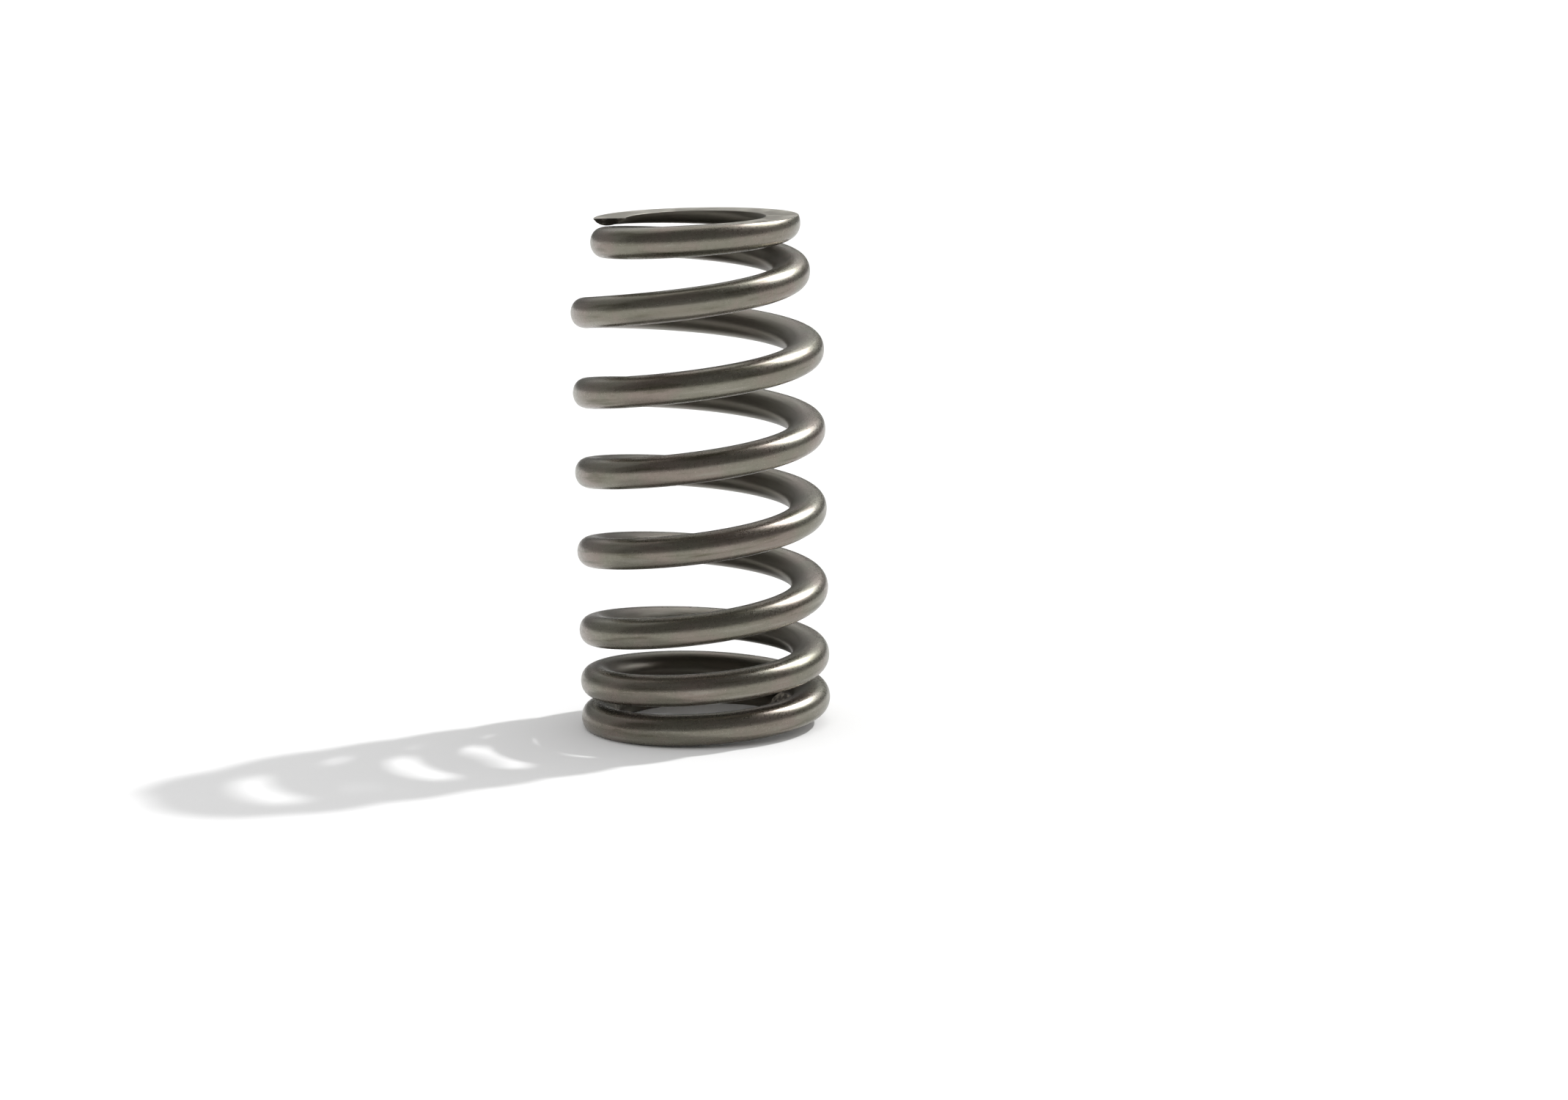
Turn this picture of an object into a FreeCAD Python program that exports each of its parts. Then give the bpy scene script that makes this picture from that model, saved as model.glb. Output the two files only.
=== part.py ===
import FreeCAD, Part
import math
import os

# Beehive valve spring for an engine's cylinder head: one length of egg-section steel wire,
# wound right-handed, narrower at the top, with both ends closed and ground flat.
# Millimetres. Z is the coil's axis. The wide end stands on Z = 0, with the origin at its centre.

# Wire, measured in a plane through the coil's axis
wire_width = 4.2
wire_height = 3.48
wire_crown_shift = 0.35  # the thickest point lies this far outside the middle of the width

# Coil
free_length = 57.5
base_outer_diameter = 28.2
top_outer_diameter = 23.4
total_turns = 8.38
base_tip_azimuth = 45.0  # degrees from +X towards +Y, where the wire begins

# Closed ends: the gap that a tip keeps to the next coil, the turns that stay closed,
# and the turns over which the pitch then opens
base_closed_gap = 0.07
base_closed_turns = 0.9
base_opening_turns = 0.2
top_closed_gap = 0.06
top_closed_turns = 0.9
top_opening_turns = 0.62

# Above the closed base coil the pitch stays at this middle value, before it opens in full
close_pitch = 5.13
close_end_turns = 2.0
close_opening_turns = 0.4

# Ground ends: what is left of the wire's height at each tip
base_tip_thickness = 1.5
top_tip_thickness = 0.8

# Beehive taper, in turns down from the top tip: where it ends, and how long it is
taper_end_turns = 1.27
taper_turns = 0.55

# The last stretch of wire at the top is tucked in towards the axis
top_tuck = 0.2
top_tuck_turns = 0.5

# How closely the curves follow their formulas
points_per_turn = 24
points_round_section = 12

# Each end is ground as a length of its own, this many turns long
end_length_turns = 1.0

# The middle of the wire's width, at both ends of the taper
base_mean_radius = (base_outer_diameter - wire_width) / 2
top_mean_radius = (top_outer_diameter - wire_width) / 2

# Heights of the wire's middle at its two tips: outside the ground faces where the tip is thin
base_tip_height = base_tip_thickness - wire_height / 2
top_tip_height = free_length - top_tip_thickness + wire_height / 2

# The pitch of the open coils is what the free length leaves for them
base_closed_pitch = wire_height + base_closed_gap
top_closed_pitch = wire_height + top_closed_gap
base_closed_length = base_closed_turns + base_opening_turns / 2
close_length = close_end_turns + close_opening_turns / 2 - base_closed_length
top_closed_length = top_closed_turns + top_opening_turns / 2
open_length = total_turns - base_closed_length - close_length - top_closed_length
closed_rise = base_closed_pitch * base_closed_length + top_closed_pitch * top_closed_length
open_rise = top_tip_height - base_tip_height - closed_rise - close_pitch * close_length
open_pitch = open_rise / open_length


def turns_held(turns_from_tip, held_turns, opening_turns):
    """Turns passed at a held pitch: whole up to held_turns, then fewer and fewer while the pitch opens."""
    if turns_from_tip <= held_turns:
        return turns_from_tip
    opened = min(turns_from_tip - held_turns, opening_turns)
    return held_turns + opened - opened ** 2 / (2 * opening_turns)


def middle_height(turn):
    """Height of the wire's middle, this many turns up from the base tip."""
    closed_below = turns_held(turn, base_closed_turns, base_opening_turns)
    close_below = turns_held(turn, close_end_turns, close_opening_turns)
    closed_above = top_closed_length - turns_held(total_turns - turn, top_closed_turns, top_opening_turns)
    lost_rise = (close_pitch - base_closed_pitch) * closed_below
    lost_rise += (open_pitch - close_pitch) * close_below
    lost_rise += (open_pitch - top_closed_pitch) * closed_above
    return base_tip_height + open_pitch * turn - lost_rise


def middle_radius(turn):
    """Radius of the wire's middle: wide below, narrow above, with a smooth taper between."""
    turns_to_tip = total_turns - turn
    share = min(max((taper_end_turns + taper_turns - turns_to_tip) / taper_turns, 0.0), 1.0)
    eased = share * share * (3 - 2 * share)
    tucked = top_tuck * max(1 - turns_to_tip / top_tuck_turns, 0.0) ** 2
    return base_mean_radius + (top_mean_radius - base_mean_radius) * eased - tucked


def placed(section_point, turn):
    """A point of the flat section (x outward, y up, from the wire's middle) moved to its turn of the coil."""
    azimuth = math.radians(base_tip_azimuth) + 2 * math.pi * turn
    radius = middle_radius(turn) + section_point.x
    height = middle_height(turn) + section_point.y
    return FreeCAD.Vector(radius * math.cos(azimuth), radius * math.sin(azimuth), height)


def egg_point(angle):
    """A point of the wire's section: angle 0 is outermost, and a quarter turn further is near the crown."""
    outward = wire_width / 2 * math.cos(angle) + wire_crown_shift * math.sin(angle) ** 2
    return FreeCAD.Vector(outward, wire_height / 2 * math.sin(angle), 0)


def egg_halves():
    """The section as an upper and a lower curve, which meet smoothly at its outermost and innermost points."""
    step = 2 * math.pi / points_round_section
    egg = Part.BSplineCurve()
    egg.interpolate(Points=[egg_point(step * index) for index in range(points_round_section)], PeriodicFlag=True)
    knots = egg.getKnots()
    innermost = knots[points_round_section // 2]
    halves = []
    for start, end in ((knots[0], innermost), (innermost, knots[-1])):
        half = egg.copy()
        half.segment(start, end)
        halves.append(half)
    return halves


def wound_surface(section_curve, turns):
    """The surface that a section curve leaves as it is wound, always upright, round the coil."""
    paths = []
    for pole in section_curve.getPoles():
        path = Part.BSplineCurve()
        path.interpolate(Points=[placed(pole, turn) for turn in turns], Parameters=turns)
        paths.append(path)
    surface = Part.BSplineSurface()
    surface.buildFromPolesMultsKnots(
        [path.getPoles() for path in paths],
        section_curve.getMultiplicities(),
        paths[0].getMultiplicities(),
        section_curve.getKnots(),
        paths[0].getKnots(),
        False,
        False,
        section_curve.Degree,
        paths[0].Degree,
    )
    return surface


def cut_length(surfaces, first_turn, last_turn):
    """A closed solid of the wound wire between two turns, cut in planes through the coil's axis."""
    strips = []
    for surface in surfaces:
        section_start, section_end, _, _ = surface.bounds()
        strip = surface.copy()
        strip.segment(section_start, section_end, first_turn, last_turn)
        strips.append(strip)
    faces = [strip.toShape() for strip in strips]
    for turn in (first_turn, last_turn):
        outline = Part.Wire([strip.vIso(turn).toShape() for strip in strips])
        faces.append(Part.Face(outline))
    shell = Part.makeShell(faces)
    shell.sewShape()
    length = Part.Solid(shell)
    if length.Volume < 0:
        length.reverse()
    return length


def valve_spring():
    """Both end coils are ground square to the axis, down to the free length, and joined to the open coils."""
    steps = math.ceil(total_turns * points_per_turn)
    turns = [total_turns * step / steps for step in range(steps + 1)]
    end_steps = round(end_length_turns * points_per_turn)
    base_joint = turns[end_steps]
    top_joint = turns[-1 - end_steps]
    surfaces = [wound_surface(half, turns) for half in egg_halves()]
    base_coil = cut_length(surfaces, turns[0], base_joint)
    open_coils = cut_length(surfaces, base_joint, top_joint)
    top_coil = cut_length(surfaces, top_joint, turns[-1])
    between_wheels = Part.makeCylinder(base_outer_diameter, free_length)
    ground_ends = [coil.common(between_wheels) for coil in (base_coil, top_coil)]
    return open_coils.fuse(ground_ends).Solids[0]


spring = valve_spring()
print("open pitch", round(open_pitch, 3), "volume", round(spring.Volume, 1), "valid", spring.isValid())
os.makedirs("parts", exist_ok=True)
spring.exportStep("parts/valve_spring.step")
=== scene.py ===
from math import asin, ceil, cos, hypot, pi, radians, sin

import bmesh
import bpy
from mathutils import Euler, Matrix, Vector


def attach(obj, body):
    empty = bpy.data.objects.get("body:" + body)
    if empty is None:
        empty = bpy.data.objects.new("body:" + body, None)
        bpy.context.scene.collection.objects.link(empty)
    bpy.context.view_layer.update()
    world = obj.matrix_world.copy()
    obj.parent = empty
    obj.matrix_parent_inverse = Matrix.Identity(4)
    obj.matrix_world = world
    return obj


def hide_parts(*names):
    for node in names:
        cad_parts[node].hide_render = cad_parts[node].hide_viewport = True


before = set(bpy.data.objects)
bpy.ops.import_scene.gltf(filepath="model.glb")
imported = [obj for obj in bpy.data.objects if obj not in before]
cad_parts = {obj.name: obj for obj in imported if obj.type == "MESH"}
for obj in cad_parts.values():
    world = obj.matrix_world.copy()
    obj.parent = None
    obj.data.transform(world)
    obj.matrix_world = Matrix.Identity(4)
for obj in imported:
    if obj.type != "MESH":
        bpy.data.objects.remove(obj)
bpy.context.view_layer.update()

mm = 0.001
plainWhite = (1, 1, 1, 1)
scene = bpy.context.scene

# The picture that the camera frames, in pixels
picture = {"width": 2139, "height": 1500}


# Where the camera stands: the middle of the spring's foot is the origin, and it looks along +Y
cameraPlace = {
    "lens": 88.33,            # millimetres
    "sensor": 36.0,           # millimetres across
    "nearest": 0.01,          # metres, from where it sees
    "distance": 0.4373,       # metres along the line of sight, down to the foot's middle
    "lookDown": 10.11,        # degrees
    "roll": -1.09,            # degrees
    "footAcross": 963.7,      # where the foot's middle lands in the picture
    "footDown": 985.0,
}


def makeCamera():
    place = cameraPlace
    data = bpy.data.cameras.new("camera")
    data.lens = place["lens"]
    data.sensor_width = place["sensor"]
    data.clip_start = place["nearest"]
    camera = bpy.data.objects.new("camera", data)
    scene.collection.objects.link(camera)
    turn = Euler((radians(90 - place["lookDown"]), 0, radians(place["roll"])), "ZXY")
    perPixel = place["distance"] * place["sensor"] / place["lens"] / picture["width"]
    right = (place["footAcross"] - picture["width"] / 2) * perPixel
    down = (place["footDown"] - picture["height"] / 2) * perPixel
    camera.rotation_mode = "ZXY"
    camera.rotation_euler = turn
    camera.location = -(turn.to_matrix() @ Vector((right, -down, -place["distance"])))
    scene.camera = camera


# The key lamp stands behind and to the right, and throws the long shadow
keyLamp = {
    "azimuth": 31.6,          # degrees from +X towards +Y
    "elevation": 44.9,        # degrees
    "strength": 2.2,
    "spread": 3.0,            # degrees across, which softens the shadow's edge
}


def lampDirection():
    azimuth = radians(keyLamp["azimuth"])
    elevation = radians(keyLamp["elevation"])
    level = cos(elevation)
    return Vector((cos(azimuth) * level, sin(azimuth) * level, sin(elevation)))


def makeKeyLamp():
    data = bpy.data.lights.new("keyLamp", "SUN")
    data.energy = keyLamp["strength"]
    data.angle = radians(keyLamp["spread"])
    lamp = bpy.data.objects.new("keyLamp", data)
    scene.collection.objects.link(lamp)
    lamp.rotation_euler = lampDirection().to_track_quat("Z", "Y").to_euler()
    lamp.location = lampDirection()
    lamp.visible_glossy = False  # metal shows the softbox instead


# Small helpers for node trees
def newTree(owner):
    owner.use_nodes = True
    owner.node_tree.nodes.clear()
    return owner.node_tree


def addNode(tree, kind, settings=None, inputs=None):
    node = tree.nodes.new(kind)
    for key, value in (settings or {}).items():
        setattr(node, key, value)
    for key, value in (inputs or {}).items():
        socket = node.inputs[key]
        if isinstance(value, bpy.types.NodeSocket):
            tree.links.new(value, socket)
        else:
            socket.default_value = value
    return node


def combine(tree, operation, first, second):
    inputs = {0: first, 1: second}
    return addNode(tree, "ShaderNodeMath", {"operation": operation}, inputs).outputs[0]


# A value's way from one range to another, eased at both ends
def remap(tree, value, fromRange, toLow=0.0, toHigh=1.0):
    settings = {"interpolation_type": "SMOOTHSTEP"}
    inputs = {
        "Value": value,
        "From Min": fromRange[0],
        "From Max": fromRange[1],
        "To Min": toLow,
        "To Max": toHigh,
    }
    return addNode(tree, "ShaderNodeMapRange", settings, inputs).outputs[0]


def mixValue(tree, factor, first, second):
    inputs = {0: factor, 2: first, 3: second}
    return addNode(tree, "ShaderNodeMix", None, inputs).outputs[0]


def mixVector(tree, factor, first, second):
    inputs = {0: factor, 4: first, 5: second}
    return addNode(tree, "ShaderNodeMix", {"data_type": "VECTOR"}, inputs).outputs[1]


def mixColour(tree, factor, first, second):
    inputs = {0: factor, 6: first, 7: second}
    return addNode(tree, "ShaderNodeMix", {"data_type": "RGBA"}, inputs).outputs[2]


def noise(tree, place, scale, detail):
    inputs = {"Vector": place, "Scale": scale, "Detail": detail}
    return addNode(tree, "ShaderNodeTexNoise", None, inputs).outputs[0]


def bump(tree, height, depth):
    inputs = {"Height": height, "Strength": 1.0, "Distance": depth * mm}
    return addNode(tree, "ShaderNodeBump", None, inputs).outputs[0]


# Ends a material's tree with one shader
def finishMaterial(tree, inputs):
    shader = addNode(tree, "ShaderNodeBsdfPrincipled", None, inputs)
    addNode(tree, "ShaderNodeOutputMaterial", None, {"Surface": shader.outputs[0]})


# The studio: a white backdrop behind, a dim room in front, and an even soft light for the floor.
# Directions are shares of a unit vector: X to the right, Y away from the camera, Z up.
studio = {
    "floorReach": 6.0,        # metres
    "floorWhite": (0.9, 0.9, 0.9, 1),
    "floorRoughness": 0.9,
    "floorShine": 0.1,
    "backdrop": (-0.10, 0.12),     # Y over which the room gives way to the backdrop
    "canopy": 1.1,            # the wide lamp above and behind, which lights the wire's crown
    "canopyRise": (0.18, 0.62),    # Z over which it comes up from the horizon
    "canopyAcross": (-0.75, -0.2),  # X over which it comes up from its left end
    "canopyLeft": 0.3,        # what is left of it at the left
    "horizon": (0.32, 0.14),  # low behind the spring, left and right
    "horizonAcross": (-0.9, -0.1),
    "room": 0.075,            # the room behind the camera, seen as the dark band on the wire
    "roomColour": (1.0, 0.93, 0.88, 1),
    "softbox": 13.5,          # the key lamp's soft front, seen as the long highlights
    "softboxColour": (0.94, 0.97, 1.0, 1),
    "softboxEdge": (0.93, 0.972),  # cosine of its half angle, outside and inside
    "fill": 0.8,              # what the room gives to the floor, so the shadow stays pale
}


def makeFloor():
    reach = studio["floorReach"]
    corners = [(-reach, -reach, 0), (reach, -reach, 0), (reach, reach, 0), (-reach, reach, 0)]
    mesh = bpy.data.meshes.new("floor")
    mesh.from_pydata(corners, [], [(0, 1, 2, 3)])
    floor = bpy.data.objects.new("floor", mesh)
    scene.collection.objects.link(floor)
    material = bpy.data.materials.new("whitePaper")
    finishMaterial(newTree(material), {
        "Base Color": studio["floorWhite"],
        "Roughness": studio["floorRoughness"],
        "Specular IOR Level": studio["floorShine"],
    })
    mesh.materials.append(material)


def makeWorld():
    world = bpy.data.worlds.new("studio")
    scene.world = world
    tree = newTree(world)
    towards = addNode(tree, "ShaderNodeTexCoord").outputs["Generated"]
    parts = addNode(tree, "ShaderNodeSeparateXYZ", None, {0: towards})

    # The backdrop, from its horizon up to the canopy
    backdrop = remap(tree, parts.outputs["Y"], studio["backdrop"])
    low = remap(tree, parts.outputs["X"], studio["horizonAcross"], *studio["horizon"])
    leftCanopy = studio["canopy"] * studio["canopyLeft"]
    high = remap(tree, parts.outputs["X"], studio["canopyAcross"], leftCanopy, studio["canopy"])
    white = remap(tree, parts.outputs["Z"], studio["canopyRise"], low, high)
    white = combine(tree, "MULTIPLY", backdrop, white)

    # The room, and the softbox in the key lamp's place
    inFront = combine(tree, "SUBTRACT", 1.0, backdrop)
    room = combine(tree, "MULTIPLY", inFront, studio["room"])
    settings = {"operation": "DOT_PRODUCT"}
    inputs = {0: towards, 1: lampDirection()}
    toLamp = addNode(tree, "ShaderNodeVectorMath", settings, inputs).outputs["Value"]
    inSoftbox = remap(tree, toLamp, studio["softboxEdge"])
    softbox = combine(tree, "MULTIPLY", inSoftbox, studio["softbox"])

    # Metal shows all of it, the floor gets the even fill, and the camera sees plain white
    path = addNode(tree, "ShaderNodeLightPath").outputs
    shiny = combine(tree, "MAXIMUM", path["Is Glossy Ray"], path["Is Transmission Ray"])
    mirrored = combine(tree, "ADD", combine(tree, "ADD", white, room), softbox)
    strength = mixValue(tree, shiny, studio["fill"], mirrored)
    strength = mixValue(tree, path["Is Camera Ray"], strength, 1.0)
    colour = mixColour(tree, backdrop, studio["roomColour"], plainWhite)
    colour = mixColour(tree, inSoftbox, colour, studio["softboxColour"])
    colour = mixColour(tree, shiny, plainWhite, colour)
    light = addNode(tree, "ShaderNodeBackground", None, {"Color": colour, "Strength": strength})
    addNode(tree, "ShaderNodeOutputWorld", None, {"Surface": light.outputs[0]})


# The spring's wire and coil, in millimetres and turns
springShape = {
    "wireWidth": 4.2,
    "wireHeight": 3.48,
    "crownShift": 0.35,       # the thickest point lies this far outside the middle of the width
    "freeLength": 57.5,
    "baseDiameter": 28.2,     # outside
    "topDiameter": 23.4,
    "turns": 8.38,
    "firstAzimuth": 45.0,     # degrees from +X towards +Y, where the wire begins
    "baseGap": 0.07,          # what the tip keeps clear of the next coil
    "baseClosed": 0.9,        # turns that stay closed
    "baseOpening": 0.2,       # turns over which the pitch then opens
    "closePitch": 5.13,       # the middle pitch above the closed base coil
    "closeEnd": 2.0,
    "closeOpening": 0.4,
    "topGap": 0.06,
    "topClosed": 0.9,
    "topOpening": 0.62,
    "baseTip": 1.5,           # what the grinding leaves of the wire's height at each tip
    "topTip": 0.8,
    "taperEnd": 1.27,         # turns down from the top tip
    "taperTurns": 0.55,
    "topTuck": 0.2,           # the last stretch is tucked in towards the axis
    "tuckTurns": 0.5,
    "ringsPerTurn": 96,
    "sidePoints": 11,         # steps along each side of the section
    "flatPoints": 7,          # steps over its top and its bottom
    "edgeTurn": 0.05,         # radians that each corner's own narrow step takes
    "highestCorner": 0.8,     # a corner goes no higher on the section than this share
    "bluntEdge": 0.07,
}


# Turns passed at a held pitch: whole at first, then fewer while the pitch opens
def heldTurns(fromTip, held, opening):
    if fromTip <= held:
        return fromTip
    opened = min(fromTip - held, opening)
    return held + opened - opened ** 2 / (2 * opening)


# Radius and height of the wire's middle, this many turns up from the base tip
def wireMiddle(turn):
    shape = springShape
    basePitch = shape["wireHeight"] + shape["baseGap"]
    topPitch = shape["wireHeight"] + shape["topGap"]
    baseLength = shape["baseClosed"] + shape["baseOpening"] / 2
    closeLength = shape["closeEnd"] + shape["closeOpening"] / 2 - baseLength
    topLength = shape["topClosed"] + shape["topOpening"] / 2
    openLength = shape["turns"] - baseLength - closeLength - topLength
    lowest = shape["baseTip"] - shape["wireHeight"] / 2
    highest = shape["freeLength"] - shape["topTip"] + shape["wireHeight"] / 2
    closedRise = basePitch * baseLength + shape["closePitch"] * closeLength + topPitch * topLength
    openPitch = (highest - lowest - closedRise) / openLength

    toTip = shape["turns"] - turn
    closedTurns = heldTurns(turn, shape["baseClosed"], shape["baseOpening"])
    closeTurns = heldTurns(turn, shape["closeEnd"], shape["closeOpening"])
    topTurns = topLength - heldTurns(toTip, shape["topClosed"], shape["topOpening"])
    height = lowest + openPitch * turn
    height -= (shape["closePitch"] - basePitch) * closedTurns
    height -= (openPitch - shape["closePitch"]) * closeTurns
    height -= (openPitch - topPitch) * topTurns

    baseRadius = (shape["baseDiameter"] - shape["wireWidth"]) / 2
    topRadius = (shape["topDiameter"] - shape["wireWidth"]) / 2
    share = (shape["taperEnd"] + shape["taperTurns"] - toTip) / shape["taperTurns"]
    share = min(max(share, 0), 1)
    radius = baseRadius + (topRadius - baseRadius) * share * share * (3 - 2 * share)
    radius -= shape["topTuck"] * max(1 - toTip / shape["tuckTurns"], 0) ** 2
    return radius, height


# Where the two end planes meet the section, as angles above and below its widest line
def cornerAngles(height):
    half = springShape["wireHeight"] / 2
    limit = springShape["highestCorner"]
    top = asin(min(max((springShape["freeLength"] - height) / half, -limit), limit))
    bottom = asin(min(max(height / half, -limit), limit))
    return top, bottom


# A point of the section, in millimetres out from and up from the wire's middle
def eggPoint(angle):
    shape = springShape
    outward = shape["wireWidth"] / 2 * cos(angle) + shape["crownShift"] * sin(angle) ** 2
    return outward, shape["wireHeight"] / 2 * sin(angle)


# Points round the section, with extra ones where the ground faces meet the round wire
def sectionPoints(height):
    shape = springShape
    top, bottom = cornerAngles(height)
    corners = [-bottom, top, pi - top, pi + bottom, 2 * pi - bottom]
    steps = [shape["sidePoints"], shape["flatPoints"], shape["sidePoints"], shape["flatPoints"]]
    deep = [False, top < 0, False, bottom < 0]   # ground past the widest line
    points = []
    for start, end, count, isDeep in zip(corners, corners[1:], steps, deep):
        edge = min(shape["edgeTurn"], (end - start) / 4)
        rest = end - start - 2 * edge
        angles = [start, start + edge]
        angles += [start + edge + rest * step / count for step in range(1, count + 1)]
        for angle in angles:
            outward, upward = eggPoint(angle)
            if isDeep:
                share = (1 - cos(pi * (angle - start) / (end - start))) / 2
                outward = eggPoint(start)[0] * (1 - share) + eggPoint(end)[0] * share
            points.append((outward, upward))
    return points


# The wheels grind both ends flat and leave a slightly blunted edge
def groundHeight(height):
    blunt = springShape["bluntEdge"]
    fromTop = springShape["freeLength"] - height
    height = springShape["freeLength"] - (fromTop + hypot(fromTop, blunt)) / 2
    return (height + hypot(height, blunt)) / 2


def makeWire(sideMaterial, tipMaterial):
    shape = springShape
    wire = bmesh.new()
    # The wire as if it were pulled straight, in millimetres, for the patterns of its finish
    straight = wire.verts.layers.float_vector.new("straight")
    ringCount = ceil(shape["turns"] * shape["ringsPerTurn"])
    rings = []
    for index in range(ringCount + 1):
        turn = shape["turns"] * index / ringCount
        azimuth = radians(shape["firstAzimuth"]) + 2 * pi * turn
        radius, height = wireMiddle(turn)
        ring = []
        for outward, upward in sectionPoints(height):
            reach = (radius + outward) * mm
            level = groundHeight(height + upward) * mm
            vertex = wire.verts.new((reach * cos(azimuth), reach * sin(azimuth), level))
            vertex[straight] = (2 * pi * radius * turn, outward, upward)
            ring.append(vertex)
        rings.append(ring)
    for lower, upper in zip(rings, rings[1:]):
        for point in range(len(lower)):
            corners = (lower[point - 1], lower[point], upper[point], upper[point - 1])
            wire.faces.new(corners).smooth = True
    for ring in (rings[0], rings[-1]):
        tip = wire.faces.new(ring)
        tip.material_index = 1
        for edge in tip.edges:
            edge.smooth = False
    bmesh.ops.recalc_face_normals(wire, faces=wire.faces)
    mesh = bpy.data.meshes.new("springWire")
    wire.to_mesh(mesh)
    wire.free()
    mesh.materials.append(sideMaterial)
    mesh.materials.append(tipMaterial)
    piece = bpy.data.objects.new("springWire", mesh)
    scene.collection.objects.link(piece)
    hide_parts("valve_spring")
    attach(piece, "root")
    print("spring wire:", len(mesh.polygons), "faces")


# Tempered and shot-peened steel, brownish grey with olive and paler patches.
# Each range is the part of a noise's values over which a tone comes in.
peenedSteel = {
    "dark": (0.112, 0.104, 0.072, 1),
    "middle": (0.204, 0.195, 0.156, 1),
    "pale": (0.285, 0.270, 0.230, 1),
    "warm": (0.232, 0.196, 0.168, 1),
    "patches": (0.22, 4.0),        # scale for each millimetre, and detail
    "patchRange": (0.38, 0.66),
    "streaks": (1.6, 5.0),
    "streakStretch": (0.09, 0.9, 0.9),  # drawn out along the wire
    "paleRange": (0.52, 0.74),
    "paleShare": 0.8,
    "darkRange": (0.48, 0.28),
    "darkShare": 0.9,
    "specks": (3.2, 3.0),
    "speckRange": (0.55, 0.75),
    "speckShare": 0.2,
    "roughRange": (0.3, 0.7),
    "roughness": (0.26, 0.34),
    # painted shade: the darker colour of the wire's inner side, standing in for the shade inside
    # the coil
    "insideShade": (0.130, 0.120, 0.100, 1),
    "insideShadeFrom": (0.1, -1.3),     # millimetres outward from the wire's middle
    "insideShadeShare": 0.7,
    "insideRoughness": 0.46,
    "metallic": 0.87,         # the rest is a thin dull film of oil and temper scale
    "dimpleSize": 0.16,       # millimetres
    "dimpleDepth": 0.0010,
}


# Colour, roughness and bump of the round wire
def peenedFinish(tree):
    look = peenedSteel
    settings = {"attribute_name": "straight"}
    straight = addNode(tree, "ShaderNodeAttribute", settings).outputs["Vector"]
    inputs = {"Vector": straight, "Scale": look["streakStretch"]}
    drawn = addNode(tree, "ShaderNodeMapping", None, inputs).outputs[0]
    patches = noise(tree, straight, *look["patches"])
    streaks = noise(tree, drawn, *look["streaks"])
    specks = noise(tree, straight, *look["specks"])
    colour = mixColour(tree, remap(tree, patches, look["patchRange"]), look["middle"], look["warm"])
    share = remap(tree, streaks, look["paleRange"], 0, look["paleShare"])
    colour = mixColour(tree, share, colour, look["pale"])
    share = remap(tree, streaks, look["darkRange"], 0, look["darkShare"])
    colour = mixColour(tree, share, colour, look["dark"])
    share = remap(tree, specks, look["speckRange"], 0, look["speckShare"])
    colour = mixColour(tree, share, colour, look["dark"])
    roughness = remap(tree, specks, look["roughRange"], *look["roughness"])

    # Painted shade: the wire's inner side, which faces the coil's bore, is painted darker to stand
    # in for the shade there, and is also made duller
    outward = addNode(tree, "ShaderNodeSeparateXYZ", None, {0: straight}).outputs["Y"]
    insideShade = remap(tree, outward, look["insideShadeFrom"], 0, look["insideShadeShare"])
    colour = mixColour(tree, insideShade, colour, look["insideShade"])
    roughness = mixValue(tree, insideShade, roughness, look["insideRoughness"])
    inputs = {"Vector": straight, "Scale": 1 / look["dimpleSize"]}
    dimples = addNode(tree, "ShaderNodeTexVoronoi", {"feature": "SMOOTH_F1"}, inputs)
    return colour, roughness, bump(tree, dimples.outputs["Distance"], look["dimpleDepth"])


# The ground end faces: matt, and marked by the wheel in one direction
groundSteel = {
    "reach": 0.035,           # millimetres below each end plane over which it comes in
    "edgeRange": (0.2, 0.7),
    "dull": (0.215, 0.200, 0.165, 1),
    "bright": (0.400, 0.380, 0.335, 1),
    "roughness": (0.38, 0.60),
    "scratches": (1.0, 3.0),       # scale and detail, after the stretch
    "scratchStretch": (150, 3200, 3200),
    "scratchAngle": 35.0,     # degrees
    "scratchDepth": 0.006,    # millimetres
    "clouds": (420.0, 4.0),
    "cloudRange": (0.3, 0.7),
    "wornRange": (0.3, 0.75),
}


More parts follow.
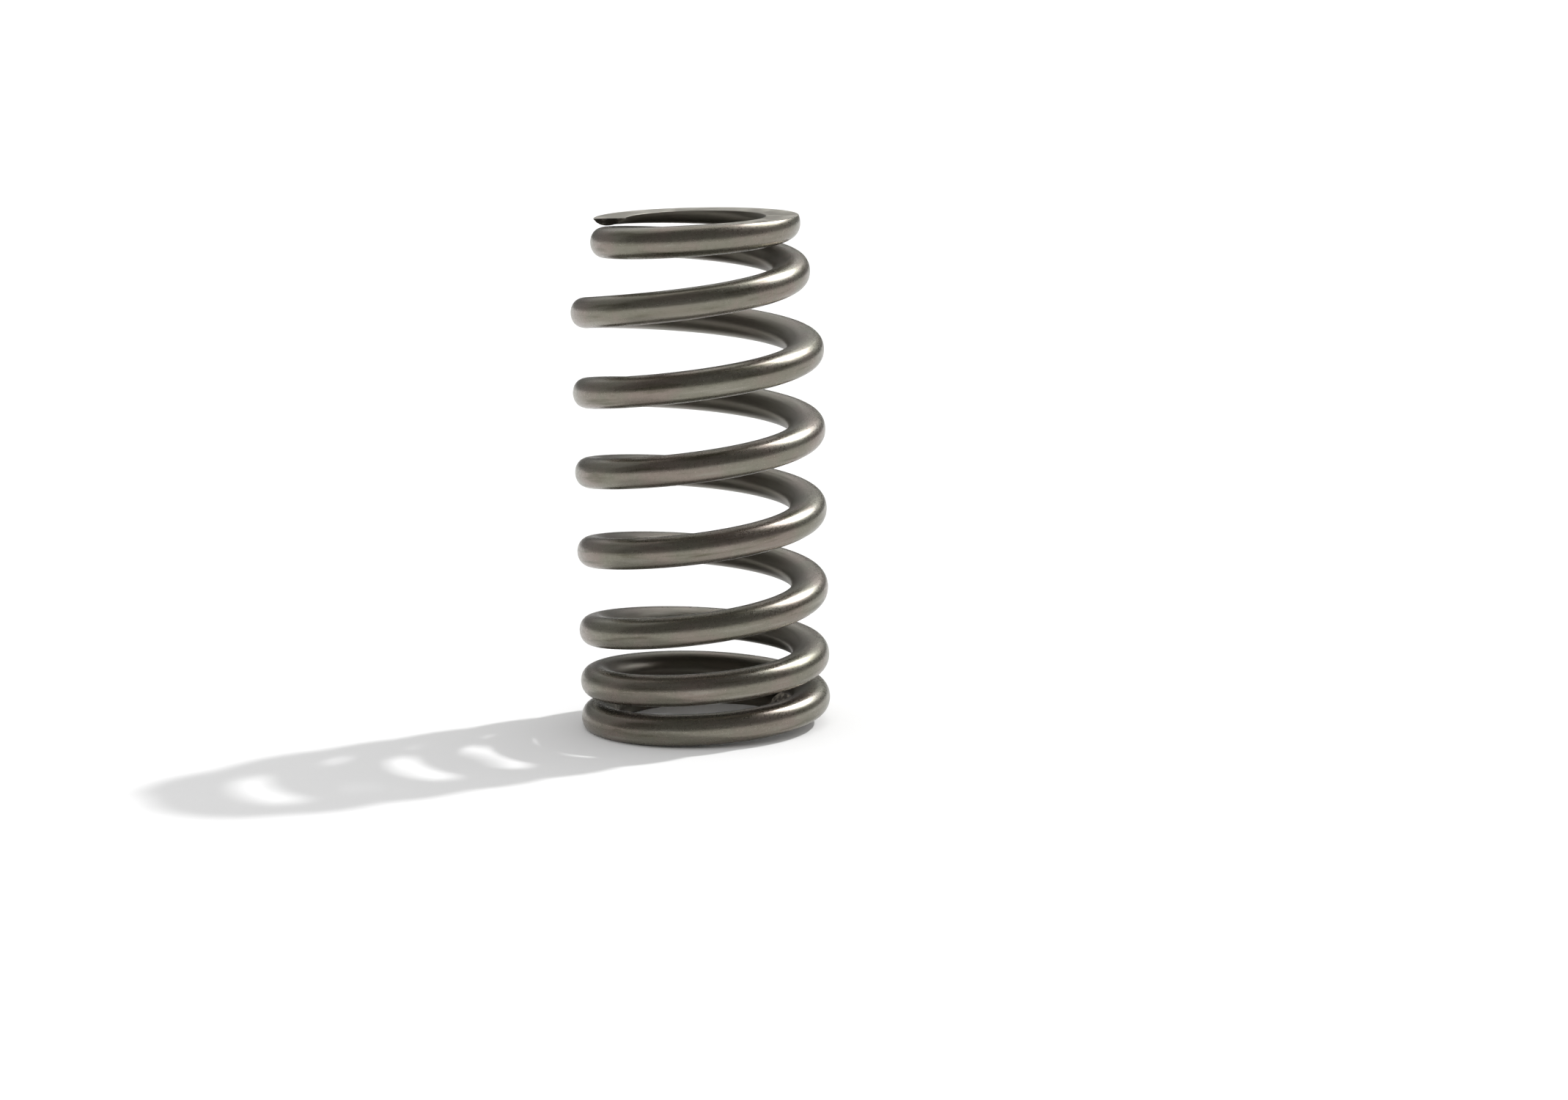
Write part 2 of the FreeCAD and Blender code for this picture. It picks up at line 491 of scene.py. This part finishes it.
# Colour, roughness and bump of the ground faces
def groundFinish(tree, place):
    look = groundSteel
    turned = (0, 0, radians(look["scratchAngle"]))
    inputs = {"Vector": place, "Rotation": turned, "Scale": look["scratchStretch"]}
    across = addNode(tree, "ShaderNodeMapping", None, inputs).outputs[0]
    scratches = noise(tree, across, *look["scratches"])
    clouds = noise(tree, place, *look["clouds"])
    worn = combine(tree, "ADD", scratches, combine(tree, "SUBTRACT", clouds, 0.5))
    colour = mixColour(tree, remap(tree, worn, look["wornRange"]), look["dull"], look["bright"])
    roughness = remap(tree, clouds, look["cloudRange"], *look["roughness"])
    return colour, roughness, bump(tree, scratches, look["scratchDepth"])


# How far a place is ground: nothing on the round wire, all on the two end faces
def groundShare(tree, place):
    top = springShape["freeLength"]
    reach = groundSteel["reach"]
    level = addNode(tree, "ShaderNodeSeparateXYZ", None, {0: place}).outputs["Z"]
    nearTop = remap(tree, level, ((top - reach) * mm, top * mm))
    nearBase = remap(tree, level, (reach * mm, 0.0))
    return remap(tree, combine(tree, "MAXIMUM", nearTop, nearBase), groundSteel["edgeRange"])


def makePeenedSteel():
    material = bpy.data.materials.new("peenedSteel")
    tree = newTree(material)
    place = addNode(tree, "ShaderNodeTexCoord").outputs["Object"]
    share = groundShare(tree, place)
    colour, roughness, normal = peenedFinish(tree)
    groundColour, groundRoughness, groundNormal = groundFinish(tree, place)
    finishMaterial(tree, {
        "Base Color": mixColour(tree, share, colour, groundColour),
        "Metallic": peenedSteel["metallic"],
        "Roughness": mixValue(tree, share, roughness, groundRoughness),
        "Normal": mixVector(tree, share, normal, groundNormal),
    })
    return material


# The cropped tips of the wire: dark, torn metal
tornSteel = {
    "dark": (0.045, 0.040, 0.033, 1),
    "pale": (0.20, 0.18, 0.15, 1),
    "metallic": 1.0,
    "roughness": 0.62,
    "tears": (1800.0, 4.0),        # scale for each metre, and detail
    "tearRange": (0.4, 0.65),
    "tearDepth": 0.05,        # millimetres
}


def makeTornSteel():
    look = tornSteel
    material = bpy.data.materials.new("tornSteel")
    tree = newTree(material)
    place = addNode(tree, "ShaderNodeTexCoord").outputs["Object"]
    tears = noise(tree, place, *look["tears"])
    share = remap(tree, tears, look["tearRange"])
    finishMaterial(tree, {
        "Base Color": mixColour(tree, share, look["dark"], look["pale"]),
        "Metallic": look["metallic"],
        "Roughness": look["roughness"],
        "Normal": bump(tree, tears, look["tearDepth"]),
    })
    return material


scene.view_settings.view_transform = "Standard"
makeCamera()
makeKeyLamp()
makeWorld()
makeFloor()
print("camera, lamp, studio and floor are in place")
makeWire(makePeenedSteel(), makeTornSteel())
